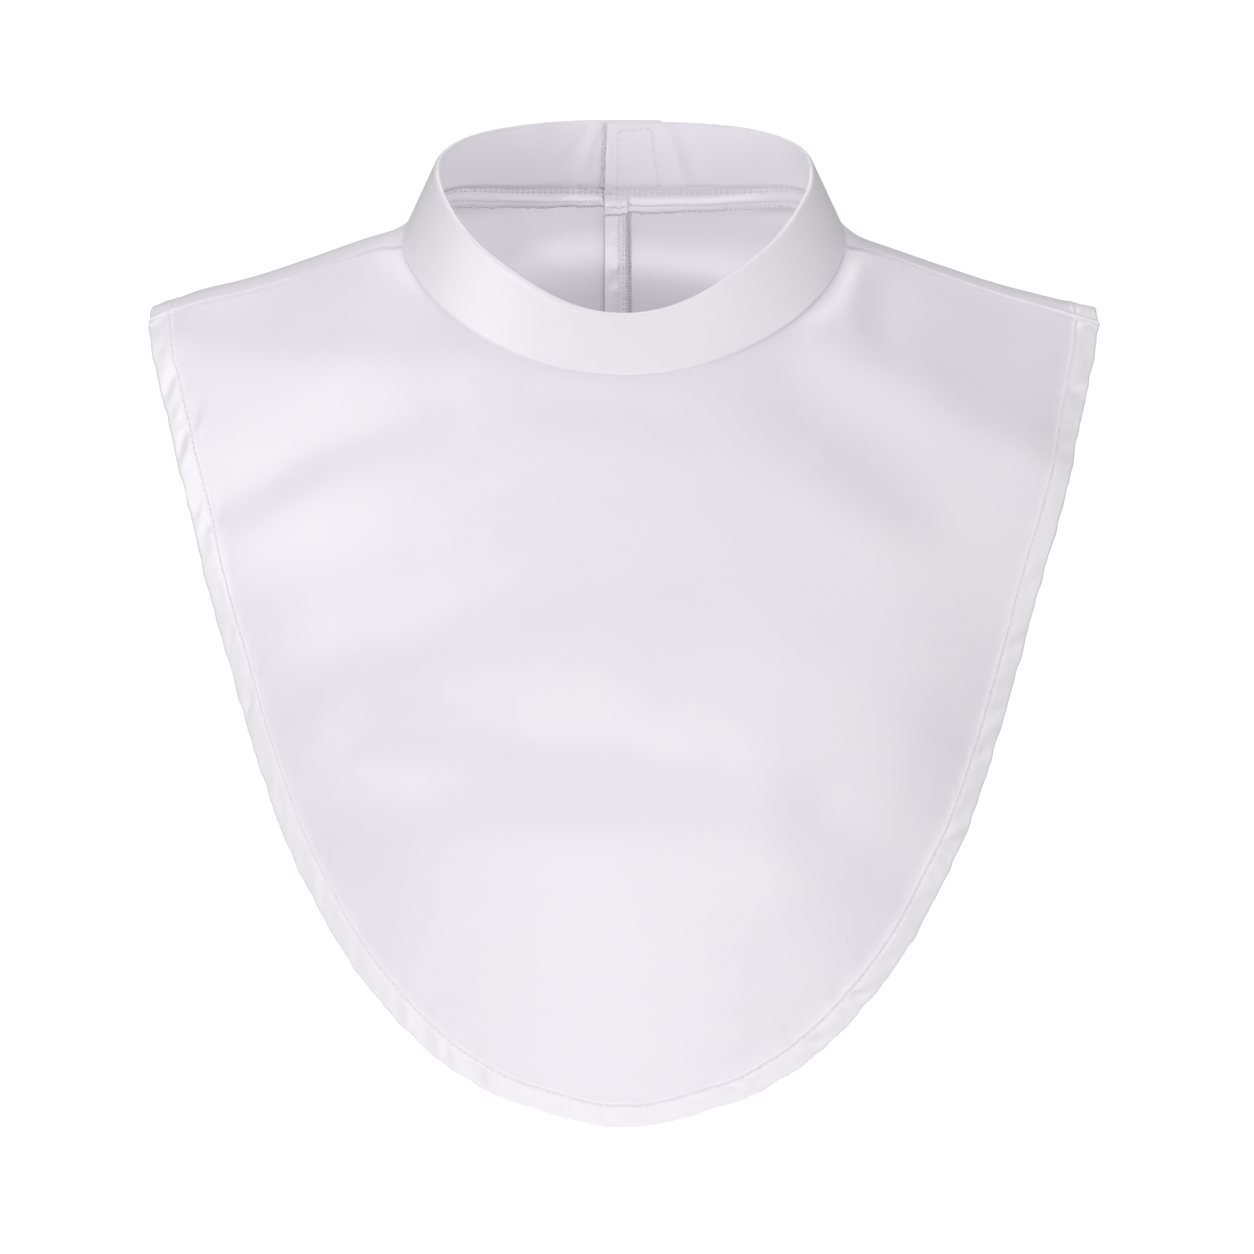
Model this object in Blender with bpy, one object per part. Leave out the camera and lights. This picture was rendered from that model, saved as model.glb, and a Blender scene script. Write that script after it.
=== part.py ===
"""Clerical collar bib in white cloth: a stand collar, a shield-shaped front and two lapped back panels.

+X is the wearer's left, +Y the wearer's back and +Z is up. The origin is the middle of the neck, level
with the widest part of the neck seam. Sizes are in metres, and tables are written in millimetres.
"""
import bmesh
import bpy
import numpy as np

MM = 0.001


def table(names, *rows):
    """Columns by name, in metres, from rows in millimetres."""
    return {name: np.array([row[i] for row in rows]) * MM for i, name in enumerate(names)}


# The general figure that gives the cloth its hollow form: shoulder line, chest and back
CREST_BACK = 10 * MM  # how far the shoulder line lies behind the middle of the neck
FRONT_ROLL = 110 * MM  # height over which the front rounds over into the shoulder
BACK_ROLL = 60 * MM  # height over which the back does
FIGURE_HALF_WIDTH = 205 * MM
CUT_DEPTH = 420 * MM
CUT_STEPS = 260
SHOULDER_LINE = table(
    ("half_width", "height"),
    (0, 21.5),
    (40, 16.5),
    (70, 6),
    (95, -1.5),
    (120, -10),
    (145, -18),
    (165, -23),
    (182, -27),
    (205, -31),
)
BODY = table(
    ("height", "chest", "back"),
    (30, 78, 90),
    (-20, 84, 96),
    (-60, 96, 102),
    (-110, 111, 107),
    (-160, 120, 109),
    (-220, 123, 106),
    (-290, 120, 100),
    (-360, 114, 94),
)

# The collar ring at the neck seam and at the top edge
COLLAR = table(
    ("half_width", "front", "back"),
    (84.2, 70, 65),
    (71.2, 60, 57),
)
BACK_FULLNESS = 2.5  # 2 is an ellipse, and more is a fuller curve at the back corners
COLLAR_SIDE = table(
    ("seam_y", "seam_height", "top_height"),
    (-70, -39.5, -18),
    (-60, -32, -6.5),
    (-42, -19.5, 7),
    (-21, -8, 19.5),
    (0, 0, 28),
    (26, 7, 33.5),
    (45, 13, 37),
    (65, 10, 40.3),
)

# Cloth and seams
CLOTH = 1.2 * MM
COLLAR_CLOTH = 2.0 * MM  # two layers, folded along the top edge
HEM_CLOTH = 2.2 * MM  # turned under twice
HEM_WIDTH = 10 * MM
HEM_STEP = 0.4 * MM
SEAM_GAP = 0.3 * MM
SHOULDER_SEAM_AHEAD = 14 * MM  # the shoulder seam lies this far in front of the shoulder line
ALLOWANCE_WIDTH = 6.5 * MM
ALLOWANCE_CLOTH = 1.2 * MM

# The lap at the centre back: the left side lies inside
LEFT_REACH = 8 * MM  # the left ends reach past the centre by this
RIGHT_REACH = 17 * MM
COLLAR_LAP = 2.5 * MM  # each collar end stands in or out of the ring by this
PANEL_LAP = 1.5 * MM
LAP_STARTS = 55 * MM  # across, from the centre back
LAP_FULL = 25 * MM
TAPE_CLOTH = 1.0 * MM
TAPE_BOTTOM = 0.1  # of the collar's height
TAPE_TOP = 0.89
HOOK_TAPE = (-3 * MM, 12.5 * MM)  # across, from the centre back
LOOP_TAPE = (-10 * MM, 14 * MM)
ALLOWANCE_END_GAP = 1 * MM
SETTLE = 6.5 * MM  # distance from the neck seam over which a panel settles on the figure

# The outer edge: half width of the cloth at each distance down the cloth from the shoulder line
FRONT_EDGE = table(
    ("run", "half_width"),
    (35, 178),
    (65, 171.5),
    (100, 164),
    (135, 155.5),
    (170, 146.5),
    (205, 137.5),
    (240, 127.5),
    (275, 114),
    (305, 100),
    (335, 81.5),
    (360, 61),
    (380, 37.5),
    (393, 0),
)
BACK_EDGE = table(
    ("run", "half_width"),
    (0, 181.5),
    (35, 180),
    (80, 173),
    (130, 160),
    (175, 143),
    (215, 118),
    (245, 84),
    (262, 44),
    (267, 0),
)
TIP_HALF_WIDTH = 181.5 * MM

# The largest soft folds, in front: a ridge or trough from one place on the cloth to another
FRONT_FOLDS = table(
    ("x1", "run1", "x2", "run2", "width", "height"),
    (-150, -130, -60, -108, 16, 2.0),
    (-165, -66, -90, -68, 18, -2.0),
    (72, -92, 152, -142, 16, -2.4),
    (98, -62, 160, -84, 15, 1.6),
    (-118, -206, -10, -250, 16, 2.0),
    (-10, -250, 108, -228, 16, 2.0),
    (86, -30, 78, -66, 7, 2.5),
    (95, -48, 86, -78, 9, -2.0),
    (-83, -30, -70, -70, 7, 1.2),
)
BACK_FOLDS = table(
    ("x1", "run1", "x2", "run2", "width", "height"),
    (62, 78, 140, 122, 16, 2.2),
    (150, 62, 96, 60, 18, -1.8),
    (-66, 84, -138, 138, 17, -2.2),
    (-96, 56, -158, 76, 16, 1.8),
    (-120, 168, -26, 186, 16, 1.8),
    (26, 190, 112, 172, 16, 1.8),
)

# How finely the cloth is made
FRONT_COLUMNS = 61
BACK_COLUMNS = 26
COLLAR_COLUMNS = 112
TAPE_COLUMNS = 7
ROWS = 19  # from the neck seam to the hem's inner line
ROW_GRADING = 1.2  # rows lie closer together at the neck
ALLOWANCE_ROWS = 3  # of those, how many the seam allowance takes
COLLAR_ROWS = ((0.02, 1), (0.35, 1), (0.7, 1), (0.97, 1), (1, 0.5))  # share of the height, share of the thickness
TAPE_ROWS = ((TAPE_BOTTOM, 1), (TAPE_TOP, 1))
STEP = 2 * MM  # short step on the cloth that shows which way it runs
TURN_STEP = 1e-3  # the same round the collar, in radians
NECK_REACH = 130 * MM  # the neck seam lies within this distance of the shoulder line, along the cloth
SHARP_ANGLE = np.radians(40)


def smooth(at, places, values):
    """Value at a place on the smooth curve through a table's rows."""
    order = np.argsort(places)
    places, values = places[order], values[order]
    slopes = np.gradient(values, places)
    at = np.clip(at, places[0], places[-1])
    k = np.clip(np.searchsorted(places, at) - 1, 0, len(places) - 2)
    step = places[k + 1] - places[k]
    u = (at - places[k]) / step
    return (
        values[k] * (1 + 2 * u) * (1 - u) ** 2
        + values[k + 1] * u**2 * (3 - 2 * u)
        + slopes[k] * step * u * (1 - u) ** 2
        - slopes[k + 1] * step * u**2 * (1 - u)
    )


def ease(u):
    """Soft step from 0 to 1."""
    u = np.clip(u, 0, 1)
    return u * u * (3 - 2 * u)


def unit(v):
    return v / np.linalg.norm(v, axis=-1, keepdims=True)


def cut(x):
    """Upright cut through the figure at x: the distance along it from the shoulder line, in front
    negative, with y and z there."""
    fall = CUT_DEPTH * np.linspace(0, 1, CUT_STEPS) ** 2
    z = smooth(abs(x), SHOULDER_LINE["half_width"], SHOULDER_LINE["height"]) - fall
    narrowing = np.sqrt(1 - (x / FIGURE_HALF_WIDTH) ** 2)
    halves = []
    for way, stand, roll in ((-1, "chest", FRONT_ROLL), (1, "back", BACK_ROLL)):
        rounding = np.sqrt(1 - (1 - np.minimum(fall / roll, 1)) ** 2)
        y = CREST_BACK + way * smooth(z, BODY["height"], BODY[stand]) * narrowing * rounding
        run = way * np.concatenate([[0], np.cumsum(np.hypot(np.diff(y), np.diff(z)))])
        halves.append((run, y, z))
    front, back = halves
    return [np.concatenate([f[::-1], b[1:]]) for f, b in zip(front, back)]


def figure(x, run):
    """Point on the figure at x, at a distance along the cloth from the shoulder line."""
    runs, ys, zs = cut(x)
    return np.array([x, np.interp(run, runs, ys), np.interp(run, runs, zs)])


def figure_normal(x, run):
    across = figure(x + STEP, run) - figure(x - STEP, run)
    along = figure(x, run + STEP) - figure(x, run - STEP)
    return unit(np.cross(across, along))


def run_at(x, y):
    """Distance along the cloth at which the cut at x has this y, near the shoulder line."""
    runs, ys, _ = cut(x)
    near = np.abs(runs) < NECK_REACH
    return np.interp(y, ys[near], runs[near])


def turn_at(x):
    """Turn round the neck at which the neck seam has this x behind, past the centre back too."""
    share = np.sign(x) * abs(x / COLLAR["half_width"][0]) ** (BACK_FULLNESS / 2)
    return np.pi - np.arcsin(share)


def lap(turn):
    """Share of the lap at a turn round the neck: inwards on the left, outwards on the right."""
    if abs(turn) < np.pi / 2:
        return 0.0
    across = 0.0 if abs(turn) > np.pi else abs(ring_edge(turn, 0)[0])
    return -np.sign(turn) * ease((LAP_STARTS - across) / (LAP_STARTS - LAP_FULL))


def ring_edge(turn, level):
    """Point of the collar ring before its ends are lapped."""
    c, s = np.cos(turn), np.sin(turn)
    power = 2 / BACK_FULLNESS if c < 0 else 1
    depth = COLLAR["front"] if c > 0 else COLLAR["back"]
    across = COLLAR["half_width"] * np.sign(s) * abs(s) ** power
    deep = -depth * np.sign(c) * abs(c) ** power
    heights = [smooth(deep[0], COLLAR_SIDE["seam_y"], COLLAR_SIDE[edge]) for edge in ("seam_height", "top_height")]
    edges = np.array([across, deep, heights])
    return edges[:, 0] + (edges[:, 1] - edges[:, 0]) * level


def ring(turn, level, aside=0.0):
    """Point of the collar: turn 0 in front and a quarter turn at +X, level 0 at the neck seam and 1 at
    the top edge, moved outwards from the ring."""
    edges = [ring_edge(turn + ahead, level) for ahead in (-TURN_STEP, 0, TURN_STEP)]
    way = unit(edges[2] - edges[0])
    outwards = unit(np.array([way[1], -way[0], 0]))
    return edges[1] + outwards * (aside + lap(turn) * COLLAR_LAP)


def fold_height(folds, x, run):
    """How far the soft folds lift the cloth there."""
    lift = 0.0
    for x1, run1, x2, run2, width, height in zip(*folds.values()):
        start, way = np.array([x1, run1]), np.array([x2 - x1, run2 - run1])
        length = np.hypot(*way)
        offset = np.array([x, run]) - start
        along = offset @ way / length
        across = (offset[0] * way[1] - offset[1] * way[0]) / length
        past = max(-along, along - length, 0)
        lift += height * np.exp(-((across / width) ** 2) - (past / width) ** 2)
    return lift


def seam_place_at(turn):
    """Where on the cloth the neck seam passes at a turn round the neck: x and run."""
    x, y, _ = ring_edge(turn, 0)
    return np.array([x, run_at(x, y)])


def lie(start, place, side, folds):
    """Outer point of a panel and the way out of it there. start is the turn round the neck where its
    column begins, place its x and run on the cloth, and side is the lap that the panel has."""
    seam_place = seam_place_at(start)
    settle = np.exp(-((np.linalg.norm(place - seam_place) / SETTLE) ** 2))
    out = figure_normal(*place)
    lapped = side * ease((LAP_STARTS - abs(place[0])) / (LAP_STARTS - LAP_FULL)) * PANEL_LAP
    if side * place[0] > 0:
        lapped = side * PANEL_LAP
    lift = (1 - settle) * (lapped + fold_height(folds, *place))
    return figure(*place) + out * lift + settle * (ring(start, 0) - figure(*seam_place)), out


def smooth_path(points, steps=40):
    """Dense smooth path through points, level at its last one, which lies on the centre line."""
    points = np.array(points)
    mirrored = points[-2] * [-1, 1]
    ends = np.vstack([2 * points[0] - points[1], points, mirrored])
    path = []
    for a, b, c, d in zip(ends[:-3], ends[1:-2], ends[2:-1], ends[3:]):
        for u in np.linspace(0, 1, steps, endpoint=False):
            path.append(
                0.5 * (2 * b + (c - a) * u + (2 * a - 5 * b + 4 * c - d) * u**2 + (3 * b - a - 3 * c + d) * u**3)
            )
    return np.vstack([path, points[-1]])


def along_path(path, share):
    """Point at a share of a path's length, with the way that the path runs there."""
    lengths = np.concatenate([[0], np.cumsum(np.hypot(*np.diff(path, axis=0).T))])
    at = share * lengths[-1]
    behind, point, ahead = [
        np.array([np.interp(at + step, lengths, path[:, i]) for i in (0, 1)]) for step in (-STEP, 0, STEP)
    ]
    return point, unit(ahead - behind)


def hem_line(place, inwards, width):
    """Place on the cloth at a real width inwards from its edge."""
    stretch = np.linalg.norm(figure(*(place + inwards * STEP)) - figure(*place)) / STEP
    return place + inwards * width / stretch


def edge_path(edge, front):
    """Outer edge on the +X side as x and run on the cloth, from the shoulder seam to the centre."""
    way = -1 if front else 1
    corner = (TIP_HALF_WIDTH, -SHOULDER_SEAM_AHEAD)
    return smooth_path([corner, *zip(edge["half_width"], way * edge["run"])])


def row_places(seam_place, hem_inner, hem_outer):
    """Places on the cloth down one column, from the neck seam to the edge."""
    down = hem_inner - seam_place
    allowance = ALLOWANCE_WIDTH / np.linalg.norm(down)
    first = np.linspace(0, allowance, ALLOWANCE_ROWS)
    rest = allowance + (1 - allowance) * np.linspace(0, 1, ROWS - ALLOWANCE_ROWS + 1)[1:] ** ROW_GRADING
    rows = [seam_place + down * share for share in (*first, *rest)]
    return rows + [hem_inner + (hem_outer - hem_inner) * share for share in (HEM_STEP / HEM_WIDTH, 0.5, 1)]


def lay(columns, side, folds):
    """Outer points, inner points and ways out of a panel, from its columns: each has the turn where it
    starts, its places on the cloth, and whether it lies in the turned edge at the centre back."""
    outer, inner, outs = [], [], []
    for turn, places, turned_edge in columns:
        laid = [lie(turn, place, side, folds) for place in places]
        thick = [HEM_CLOTH if turned_edge or row >= ROWS else CLOTH for row in range(len(places))]
        outer.append([point for point, out in laid])
        outs.append([out for point, out in laid])
        inner.append([point - out * cloth for (point, out), cloth in zip(laid, thick)])
    return np.array(outer), np.array(inner), np.array(outs)


def seam_allowance(left, front, right, material):
    """The allowance of the neck seam, turned down inside the panels, from the lapped left end round the
    front to just short of that end again."""
    outside, inside = [], []
    for _, under, outs in (left, front, right):
        under, outs = under[:, :ALLOWANCE_ROWS], outs[:, :ALLOWANCE_ROWS]
        outside += list(under - outs * SEAM_GAP)
        inside += list(under - outs * (SEAM_GAP + ALLOWANCE_CLOTH))
    return wall("neck_seam_allowance", np.array(outside), np.array(inside), material)


def turn_ahead(ahead):
    """Turn round the neck at which the neck seam lies this far in front of the shoulder line."""
    turns = np.linspace(np.radians(60), np.radians(90), 200)
    runs = [seam_place_at(turn)[1] for turn in turns]
    return np.interp(-ahead, runs, turns)


def seam_column(ahead):
    """The column along the shoulder seam: its turn, outer place and place at the hem's inner line."""
    turn = turn_ahead(ahead)
    place = np.array([TIP_HALF_WIDTH, -ahead])
    return turn, place, hem_line(place, np.array([-1, 0]), HEM_WIDTH)


def front_columns():
    path = edge_path(FRONT_EDGE, True)
    seam = seam_column(SHOULDER_SEAM_AHEAD + SEAM_GAP / 2)
    columns = []
    for share in np.linspace(-1, 1, FRONT_COLUMNS):
        turn, place, hem = seam
        if abs(share) < 1:
            turn = abs(share) * turn
            place, way = along_path(path, 1 - abs(share))
            hem = hem_line(place, np.array([way[1], -way[0]]), HEM_WIDTH)
        side = np.array([-1 if share < 0 else 1, 1])
        turn *= side[0]
        columns.append((turn, row_places(seam_place_at(turn), hem * side, place * side), False))
    return columns


def back_columns(side, end):
    """Columns of the left (side 1) or right (side -1) back panel, from the shoulder seam to its centre
    edge. end is how far past the centre back the panel reaches."""
    half = edge_path(BACK_EDGE, False)
    path = np.vstack([half, half[-2::-1] * [-1, 1]])
    fan_end = HEM_WIDTH + HEM_STEP - end
    lengths = np.concatenate([[0], np.cumsum(np.hypot(*np.diff(path, axis=0).T))])

    def share_at(x):
        return np.interp(-x, -path[:, 0], lengths) / lengths[-1]

    columns = [seam_column(SHOULDER_SEAM_AHEAD - SEAM_GAP / 2)]
    fan = np.linspace(0, 1, BACK_COLUMNS)[1:]
    for share in fan:
        turn = columns[0][0] + (turn_at(fan_end) - columns[0][0]) * share
        place, way = along_path(path, share_at(fan_end) * share)
        columns.append((turn, place, hem_line(place, np.array([-way[1], way[0]]), HEM_WIDTH)))
    for x in (HEM_WIDTH - end, HEM_WIDTH / 2 - end, -end):
        place = along_path(path, share_at(x))[0]
        columns.append((turn_at(x), place, hem_line(place, np.array([0, -1]), HEM_WIDTH)))
    mirror = np.array([side, 1])
    laid = []
    for i, (turn, place, hem) in enumerate(columns):
        turn *= side
        laid.append((turn, row_places(seam_place_at(turn), hem * mirror, place * mirror), i > len(fan)))
    return laid


def wall(name, outer, inner, material):
    """Closed solid between two grids of points, with its rim closed all round."""
    columns, rows = outer.shape[:2]
    mesh = bmesh.new()
    grids = [[[mesh.verts.new(p) for p in line] for line in grid] for grid in (outer, inner)]
    for grid, flip in zip(grids, (False, True)):
        for c in range(columns - 1):
            for r in range(rows - 1):
                a, b, d, e = grid[c][r], grid[c + 1][r], grid[c + 1][r + 1], grid[c][r + 1]
                for corners in ((a, b, d), (a, d, e)):
                    mesh.faces.new(corners[::-1] if flip else corners)
    edge = [(c, 0) for c in range(columns)]
    edge += [(columns - 1, r) for r in range(1, rows)]
    edge += [(c, rows - 1) for c in range(columns - 2, -1, -1)]
    edge += [(0, r) for r in range(rows - 2, 0, -1)]
    for (c1, r1), (c2, r2) in zip(edge, edge[1:] + edge[:1]):
        a, b = grids[0][c1][r1], grids[0][c2][r2]
        d, e = grids[1][c2][r2], grids[1][c1][r1]
        mesh.faces.new((b, a, e))
        mesh.faces.new((b, e, d))
    return finish(name, mesh, material)


def finish(name, mesh, material):
    """Object from a finished mesh, shaded smooth, with its faces pointing out."""
    bmesh.ops.recalc_face_normals(mesh, faces=mesh.faces)
    data = bpy.data.meshes.new(name)
    mesh.to_mesh(data)
    mesh.free()
    data.materials.append(material)
    data.shade_smooth()
    data.set_sharp_from_angle(angle=SHARP_ANGLE)
    piece = bpy.data.objects.new(name, data)
    bpy.context.collection.objects.link(piece)
    return piece


def cloth_material(name, colour, roughness):
    material = bpy.data.materials.new(name)
    material.use_nodes = True
    shader = material.node_tree.nodes["Principled BSDF"]
    shader.inputs["Base Color"].default_value = (*colour, 1)
    shader.inputs["Roughness"].default_value = roughness
    shader.inputs["Metallic"].default_value = 0
    return material


def collar_strip(name, turns, rows, middle, thickness, material):
    """Part of the collar ring as a wall, its middle moved outwards from the ring."""
    faces = []
    for side in (0.5, -0.5):
        grid = []
        for turn in turns:
            grid.append([ring(turn, level, middle + side * thickness * share) for level, share in rows])
        faces.append(grid)
    return wall(name, np.array(faces[0]), np.array(faces[1]), material)


def build():
    for old in list(bpy.data.objects):
        bpy.data.objects.remove(old)
    cloth = cloth_material("white_twill", (0.86, 0.85, 0.87), 0.45)
    collar = cloth_material("collar_twill", (0.87, 0.86, 0.88), 0.42)
    thread = cloth_material("overlocked_edge", (0.83, 0.82, 0.84), 0.75)
    tape = cloth_material("hook_and_loop_tape", (0.8, 0.8, 0.81), 0.8)

    left_columns, right_columns = back_columns(1, LEFT_REACH), back_columns(-1, RIGHT_REACH)
    front = lay(front_columns(), 0, FRONT_FOLDS)
    left = lay(left_columns, -1, BACK_FOLDS)
    right = lay(right_columns, 1, BACK_FOLDS)
    wall("front_panel", *front[:2], cloth)
    wall("back_panel_left", *left[:2], cloth)
    wall("back_panel_right", *right[:2], cloth)

    clear = [places[0][0] < -LEFT_REACH - ALLOWANCE_END_GAP for _, places, _ in right_columns]
    round_left = [part[::-1] for part in left]
    round_right = [part[clear] for part in right]
    seam_allowance(round_left, [part[::-1] for part in front], round_right, thread)

    turns = np.linspace(-turn_at(-RIGHT_REACH), turn_at(-LEFT_REACH), COLLAR_COLUMNS)
    collar_strip("collar_band", turns, COLLAR_ROWS, 0, COLLAR_CLOTH, collar)
    beside = (COLLAR_CLOTH + TAPE_CLOTH) / 2 + SEAM_GAP
    turns = np.linspace(turn_at(HOOK_TAPE[1]), turn_at(HOOK_TAPE[0]), TAPE_COLUMNS)
    collar_strip("hook_tape", turns, TAPE_ROWS, beside, TAPE_CLOTH, tape)
    turns = np.linspace(-turn_at(-LOOP_TAPE[1]), -turn_at(-LOOP_TAPE[0]), TAPE_COLUMNS)
    collar_strip("loop_tape", turns, TAPE_ROWS, -beside, TAPE_CLOTH, tape)


build()
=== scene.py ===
"""Clerical collar bib in white cloth, filled out as it is worn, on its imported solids.

+X is the wearer's left, +Y the wearer's back and +Z is up. Sizes are in metres, and tables are written
in millimetres. A place on the cloth is its x and its distance along the cloth from the shoulder line,
which is less than nothing in front.
"""

import bmesh
import bpy
import numpy as np
from mathutils import Matrix, Vector


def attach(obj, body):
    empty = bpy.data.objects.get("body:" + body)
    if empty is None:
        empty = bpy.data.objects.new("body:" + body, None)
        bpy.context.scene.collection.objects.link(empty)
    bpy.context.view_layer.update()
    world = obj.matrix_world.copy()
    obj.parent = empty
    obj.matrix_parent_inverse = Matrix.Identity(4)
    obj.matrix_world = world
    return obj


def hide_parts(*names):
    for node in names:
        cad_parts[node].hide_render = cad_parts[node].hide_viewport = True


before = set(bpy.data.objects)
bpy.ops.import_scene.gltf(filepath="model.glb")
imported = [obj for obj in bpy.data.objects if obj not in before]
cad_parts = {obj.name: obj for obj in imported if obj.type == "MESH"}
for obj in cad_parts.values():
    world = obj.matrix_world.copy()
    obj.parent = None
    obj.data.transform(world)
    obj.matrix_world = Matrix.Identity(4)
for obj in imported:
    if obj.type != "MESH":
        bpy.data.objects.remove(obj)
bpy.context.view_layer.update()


# FRONT PANEL. A shield-shaped piece of white satin-faced twill with a scooped neck. It is sewn to the back
# panels just in front of the shoulder line and hangs over the chest in a few soft folds. Its sides and
# rounded bottom are turned under twice and topstitched, which puckers the edge a little.
MM = 0.001


def table(names, *rows):
    """Columns by name, in metres, from rows in millimetres."""
    return {name: np.array([row[i] for row in rows]) * MM for i, name in enumerate(names)}


CREST_BACK = 10 * MM
FRONT_ROLL = 110 * MM
BACK_ROLL = 60 * MM
FIGURE_HALF_WIDTH = 205 * MM
CUT_DEPTH = 420 * MM
CUT_STEPS = 700
SHOULDER_LINE = table(
    ("half_width", "height"),
    (0, 21.5),
    (40, 16.5),
    (70, 6),
    (95, -1.5),
    (120, -10),
    (145, -18),
    (165, -23),
    (182, -27),
    (205, -31),
)
BODY = table(
    ("height", "chest", "back"),
    (30, 78, 90),
    (-20, 84, 96),
    (-60, 96, 102),
    (-110, 111, 107),
    (-160, 120, 109),
    (-220, 123, 106),
    (-290, 120, 100),
    (-360, 114, 94),
)
COLLAR = table(
    ("half_width", "front", "back"),
    (84.2, 70, 65),
    (71.2, 60, 57),
)
BACK_FULLNESS = 2.5
COLLAR_SIDE = table(
    ("seam_y", "seam_height", "top_height"),
    (-70, -39.5, -18),
    (-60, -32, -6.5),
    (-42, -19.5, 7),
    (-21, -8, 19.5),
    (0, 0, 28),
    (26, 7, 33.5),
    (45, 13, 37),
    (65, 10, 40.3),
)
CLOTH = 0.9 * MM
HEM_CLOTH = 2.0 * MM
HEM_WIDTH = 10 * MM
HEM_STITCH = 8.4 * MM  # the topstitching lies this far from the edge
FAR_FROM_EDGE = 4 * HEM_WIDTH
SEAM_GAP = 0.3 * MM
SHOULDER_SEAM_AHEAD = 14 * MM
SETTLE = 6.5 * MM
COLLAR_LAP = 2.5 * MM
PANEL_LAP = 1.5 * MM
LAP_STARTS = 55 * MM
LAP_FULL = 25 * MM
STEP = 2 * MM
TURN_STEP = 1e-3
NECK_REACH = 130 * MM
FRONT_EDGE = table(
    ("run", "half_width"),
    (35, 178),
    (65, 171.5),
    (100, 164),
    (135, 155.5),
    (170, 146.5),
    (205, 137.5),
    (240, 127.5),
    (275, 114),
    (305, 100),
    (335, 81.5),
    (360, 61),
    (380, 37.5),
    (393, 0),
)
TIP_HALF_WIDTH = 181.5 * MM
FOLDS = table(
    ("x1", "run1", "x2", "run2", "width", "height"),
    # from the shoulders towards the chest
    (-169, -23, -73, -81, 18, 3.0),
    (-151, -100, -74, -94, 16, -2.6),
    (75, -70, 150, -80, 18, 3.2),
    (70, -98, 138, -132, 21, -2.1),
    (70, -133, 103, -155, 20, 1.3),
    (-32, -114, 22, -121, 10, -0.9),
    (-57, -115, 4, -196, 22, -1.1),
    # across the lower chest
    (-106, -190, 99, -195, 24, 2.8),
    (-98, -217, -13, -248, 17, -3.6),
    (15, -250, 34, -250, 15, -2.0),
    (76, -254, 100, -262, 17, -2.3),
    (-76, -257, -9, -279, 17, 1.6),
    (62, -278, 96, -271, 17, 1.4),
    (-58, -316, 51, -320, 20, -0.9),
    # by the collar and over the shoulders
    (88, -30, 84, -58, 6, 0.7),
    (100, -36, 97, -62, 9, -0.9),
    (-81, -35, -72, -58, 5, 0.8),
    (-158, 3, -92, 5, 16, 2.6),
    # over the back
    (62, 78, 140, 122, 16, 2.2),
    (150, 62, 96, 60, 18, -1.8),
    (-66, 84, -138, 138, 17, -2.2),
    (-96, 56, -158, 76, 16, 1.8),
    (-120, 168, -26, 186, 16, 1.8),
    (26, 190, 112, 172, 16, 1.8),
)
FOLD_SWAY = 0.14  # how far a fold strays sideways, as a share of its width
FOLD_SWAY_LENGTH = 150 * MM
FOLD_UNEVENNESS = 0.1  # of its height
FOLD_UNEVENNESS_LENGTH = 140 * MM


def smooth(at, places, values):
    """Value at a place on the smooth curve through a table's rows."""
    order = np.argsort(places)
    places, values = places[order], values[order]
    slopes = np.gradient(values, places)
    at = np.clip(at, places[0], places[-1])
    k = np.clip(np.searchsorted(places, at) - 1, 0, len(places) - 2)
    step = places[k + 1] - places[k]
    u = (at - places[k]) / step
    return (
        values[k] * (1 + 2 * u) * (1 - u) ** 2
        + values[k + 1] * u**2 * (3 - 2 * u)
        + slopes[k] * step * u * (1 - u) ** 2
        - slopes[k + 1] * step * u**2 * (1 - u)
    )


def rows_at(at, places, *columns):
    """Rows of the columns' values at places between theirs."""
    return np.stack([np.interp(at, places, column) for column in columns], -1)


def ease(u):
    """Soft step from 0 to 1."""
    u = np.clip(u, 0, 1)
    return u * u * (3 - 2 * u)


def bump(distance, width):
    """Soft rise to 1 in the middle, gone at about two widths away."""
    return np.exp(-((distance / width) ** 2))


def unit(v):
    """The same ways, each of length 1."""
    return v / np.linalg.norm(v, axis=-1, keepdims=True)


def wander(along, longest, seed):
    """Uneven value between about -1 and 1 along a length, from waves of four lengths."""
    value = 0
    for k, (length, share) in enumerate(((1, 0.45), (0.62, 0.4), (0.41, 0.3), (0.27, 0.18))):
        value = value + share * np.sin(2 * np.pi * along / (longest * length) + seed * (1.7 + k) + k * k)
    return value


def cut(x):
    """Upright cut through the figure at x: the distance along it from the shoulder line, in front
    negative, with y and z there."""
    fall = CUT_DEPTH * np.linspace(0, 1, CUT_STEPS) ** 2
    z = smooth(abs(x), SHOULDER_LINE["half_width"], SHOULDER_LINE["height"]) - fall
    narrowing = np.sqrt(1 - (x / FIGURE_HALF_WIDTH) ** 2)
    halves = []
    for way, stand, roll in ((-1, "chest", FRONT_ROLL), (1, "back", BACK_ROLL)):
        rounding = np.sqrt(1 - (1 - np.minimum(fall / roll, 1)) ** 2)
        y = CREST_BACK + way * smooth(z, BODY["height"], BODY[stand]) * narrowing * rounding
        run = way * np.concatenate([[0], np.cumsum(np.hypot(np.diff(y), np.diff(z)))])
        halves.append((run, y, z))
    front, back = halves
    return [np.concatenate([f[::-1], b[1:]]) for f, b in zip(front, back)]


NET_STEP = 1 * MM
NET_X = np.arange(0, 204) * NET_STEP
NET_RUN = np.arange(-430, 331) * NET_STEP
FIGURE_NET = np.array([rows_at(NET_RUN, *cut(x)) for x in NET_X])


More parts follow.
